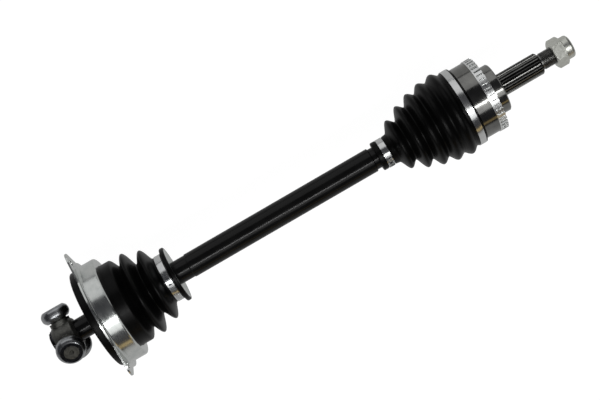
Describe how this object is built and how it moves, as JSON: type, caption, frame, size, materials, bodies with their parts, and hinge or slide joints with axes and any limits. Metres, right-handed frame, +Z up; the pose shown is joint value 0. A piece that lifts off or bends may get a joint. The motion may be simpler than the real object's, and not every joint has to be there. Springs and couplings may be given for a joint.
{
  "type": "cv axle",
  "caption": "Front-wheel drive axle: booted ball joint with splined stub and hub nut, painted bar, and bare tripod inside a rubber gaiter on a bolt-on flange.",
  "frame": {"origin": "on the axle's axis, in the machined face that seats against the wheel hub, where the splined stub starts", "axes": "+X along the axle from the gearbox towards the wheel, +Z up in the drawn pose, +Y horizontal and across the axle"},
  "size_m": [0.6675, 0.1517, 0.1521],
  "materials": {
    "drive_bar": "black satin paint over forged steel",
    "inner_race": "ground bearing steel",
    "race_circlip": "phosphated spring steel",
    "ball_cage": "ground bearing steel",
    "joint_housing": "turned and induction-hardened steel",
    "tone_ring": "bright zinc plating",
    "hub_nut": "matt zinc plating",
    "nut_lock_insert": "nylon",
    "wheel_boot": "satin black rubber",
    "wheel_boot_big_clamp": "bright stainless steel",
    "wheel_boot_small_clamp": "bright stainless steel",
    "gaiter": "satin black rubber",
    "gaiter_clamp": "bright stainless steel",
    "gaiter_bearing_outer_ring": "ground bearing steel",
    "gaiter_bearing_inner_ring": "ground bearing steel",
    "gaiter_bearing_balls": "polished bearing steel",
    "gaiter_bearing_cage": "pressed brass",
    "gaiter_oil_seal": "nitrile rubber on a steel case",
    "gaiter_dust_shield": "zinc-plated sheet",
    "flange_plate": "zinc-plated pressing",
    "tripod_spider": "phosphated forged steel, ground trunnions",
    "tripod_circlip": "phosphated spring steel",
    "joint_ball_1": "polished bearing steel",
    "joint_ball_2": "polished bearing steel",
    "joint_ball_3": "polished bearing steel",
    "joint_ball_4": "polished bearing steel",
    "joint_ball_5": "polished bearing steel",
    "joint_ball_6": "polished bearing steel",
    "roller_1": "ground bearing steel",
    "needles_1": "ground bearing steel",
    "needle_washer_1": "hardened steel",
    "roller_circlip_1": "phosphated spring steel",
    "roller_2": "ground bearing steel",
    "needles_2": "ground bearing steel",
    "needle_washer_2": "hardened steel",
    "roller_circlip_2": "phosphated spring steel",
    "roller_3": "ground bearing steel",
    "needles_3": "ground bearing steel",
    "needle_washer_3": "hardened steel",
    "roller_circlip_3": "phosphated spring steel"
  },
  "bodies": {
    "bar": {"drive_bar": "drive_bar", "inner_race": "inner_race", "race_circlip": "race_circlip", "wheel_boot": "wheel_boot", "wheel_boot_small_clamp": "wheel_boot_small_clamp", "gaiter_bearing_inner_ring": "gaiter_bearing_inner_ring", "tripod_spider": "tripod_spider", "tripod_circlip": "tripod_circlip", "needle_washer_1": "needle_washer_1", "needle_washer_2": "needle_washer_2", "needle_washer_3": "needle_washer_3", "roller_circlip_1": "roller_circlip_1", "roller_circlip_2": "roller_circlip_2", "roller_circlip_3": "roller_circlip_3"},
    "bell": {"joint_housing": "joint_housing", "tone_ring": "tone_ring", "wheel_boot_big_clamp": "wheel_boot_big_clamp"},
    "nut": {"hub_nut": "hub_nut", "nut_lock_insert": "nut_lock_insert"},
    "cage": {"ball_cage": "ball_cage"},
    "ball_1": {"joint_ball_1": "joint_ball_1"},
    "ball_2": {"joint_ball_2": "joint_ball_2"},
    "ball_3": {"joint_ball_3": "joint_ball_3"},
    "ball_4": {"joint_ball_4": "joint_ball_4"},
    "ball_5": {"joint_ball_5": "joint_ball_5"},
    "ball_6": {"joint_ball_6": "joint_ball_6"},
    "bearing_outer": {"gaiter_bearing_outer_ring": "gaiter_bearing_outer_ring", "gaiter_oil_seal": "gaiter_oil_seal", "gaiter_dust_shield": "gaiter_dust_shield", "gaiter_clamp": "gaiter_clamp"},
    "bearing_balls": {"gaiter_bearing_balls": "gaiter_bearing_balls", "gaiter_bearing_cage": "gaiter_bearing_cage"},
    "gaiter": {"gaiter": "gaiter"},
    "flange": {"flange_plate": "flange_plate"},
    "roller_1": {"roller_1": "roller_1"},
    "roller_2": {"roller_2": "roller_2"},
    "roller_3": {"roller_3": "roller_3"},
    "needles_1": {"needles_1": "needles_1"},
    "needles_2": {"needles_2": "needles_2"},
    "needles_3": {"needles_3": "needles_3"}
  },
  "joints": [
    {"name": "wheel_joint_bend", "type": "hinge", "parent": "bar", "child": "bell", "pos_m": [-0.042, 0, 0], "axis": [0, 1, 0], "range_deg": [-45, 45], "deforming": ["wheel_boot"]},
    {"name": "cage_bend", "type": "hinge", "parent": "bar", "child": "cage", "pos_m": [-0.042, 0, 0], "axis": [0, 1, 0], "range_deg": [-22.5, 22.5]},
    {"name": "ball_1_swing", "type": "hinge", "parent": "bar", "child": "ball_1", "pos_m": [-0.042, 0, 0], "axis": [0, 0.5, -0.866], "range_deg": [-11.25, 11.25]},
    {"name": "ball_2_swing", "type": "hinge", "parent": "bar", "child": "ball_2", "pos_m": [-0.042, 0, 0], "axis": [0, 1, 0], "range_deg": [-22.5, 22.5]},
    {"name": "ball_3_swing", "type": "hinge", "parent": "bar", "child": "ball_3", "pos_m": [-0.042, 0, 0], "axis": [0, 0.5, 0.866], "range_deg": [-11.25, 11.25]},
    {"name": "ball_4_swing", "type": "hinge", "parent": "bar", "child": "ball_4", "pos_m": [-0.042, 0, 0], "axis": [0, -0.5, 0.866], "range_deg": [-11.25, 11.25]},
    {"name": "ball_5_swing", "type": "hinge", "parent": "bar", "child": "ball_5", "pos_m": [-0.042, 0, 0], "axis": [0, -1, 0], "range_deg": [-22.5, 22.5]},
    {"name": "ball_6_swing", "type": "hinge", "parent": "bar", "child": "ball_6", "pos_m": [-0.042, 0, 0], "axis": [0, -0.5, -0.866], "range_deg": [-11.25, 11.25]},
    {"name": "hub_nut_off", "type": "slide", "parent": "bell", "child": "nut", "axis": [1, 0, 0], "range_m": [-0.0135, 0.03]},
    {"name": "gaiter_spin", "type": "hinge", "parent": "bar", "child": "bearing_outer", "pos_m": [-0.427, 0, 0], "axis": [1, 0, 0], "continuous": true},
    {"name": "gaiter_bearing_roll", "type": "hinge", "parent": "bar", "child": "bearing_balls", "pos_m": [-0.427, 0, 0], "axis": [1, 0, 0], "continuous": true},
    {"name": "flange_tilt", "type": "hinge", "parent": "bearing_outer", "child": "gaiter", "pos_m": [-0.5565, 0, 0], "axis": [0, 1, 0], "range_deg": [-10, 10], "stiffness_Nm_per_rad": 12, "deforming": ["gaiter"]},
    {"name": "gaiter_plunge", "type": "slide", "parent": "gaiter", "child": "flange", "axis": [1, 0, 0], "range_m": [-0.015, 0.015], "stiffness_N_per_m": 600, "deforming": ["gaiter"]},
    {"name": "roller_1_spin", "type": "hinge", "parent": "bar", "child": "roller_1", "pos_m": [-0.5565, 0.0286, 0], "axis": [0, 1, 0], "continuous": true},
    {"name": "needles_1_roll", "type": "hinge", "parent": "bar", "child": "needles_1", "pos_m": [-0.5565, 0.0286, 0], "axis": [0, 1, 0], "continuous": true},
    {"name": "roller_2_spin", "type": "hinge", "parent": "bar", "child": "roller_2", "pos_m": [-0.5565, -0.0143, 0.02477], "axis": [0, -0.5, 0.866], "continuous": true},
    {"name": "needles_2_roll", "type": "hinge", "parent": "bar", "child": "needles_2", "pos_m": [-0.5565, -0.0143, 0.02477], "axis": [0, -0.5, 0.866], "continuous": true},
    {"name": "roller_3_spin", "type": "hinge", "parent": "bar", "child": "roller_3", "pos_m": [-0.5565, -0.0143, -0.02477], "axis": [0, -0.5, -0.866], "continuous": true},
    {"name": "needles_3_roll", "type": "hinge", "parent": "bar", "child": "needles_3", "pos_m": [-0.5565, -0.0143, -0.02477], "axis": [0, -0.5, -0.866], "continuous": true}
  ],
  "couplings": [
    {"joint": "cage_bend", "follows": "wheel_joint_bend", "ratio": 0.5},
    {"joint": "ball_1_swing", "follows": "wheel_joint_bend", "ratio": 0.25},
    {"joint": "ball_2_swing", "follows": "wheel_joint_bend", "ratio": 0.5},
    {"joint": "ball_3_swing", "follows": "wheel_joint_bend", "ratio": 0.25},
    {"joint": "ball_4_swing", "follows": "wheel_joint_bend", "ratio": -0.25},
    {"joint": "ball_5_swing", "follows": "wheel_joint_bend", "ratio": -0.5},
    {"joint": "ball_6_swing", "follows": "wheel_joint_bend", "ratio": -0.25},
    {"joint": "gaiter_bearing_roll", "follows": "gaiter_spin", "ratio": 0.5724},
    {"joint": "needles_1_roll", "follows": "roller_1_spin", "ratio": 0.5701},
    {"joint": "needles_2_roll", "follows": "roller_2_spin", "ratio": 0.5701},
    {"joint": "needles_3_roll", "follows": "roller_3_spin", "ratio": 0.5701}
  ]
}
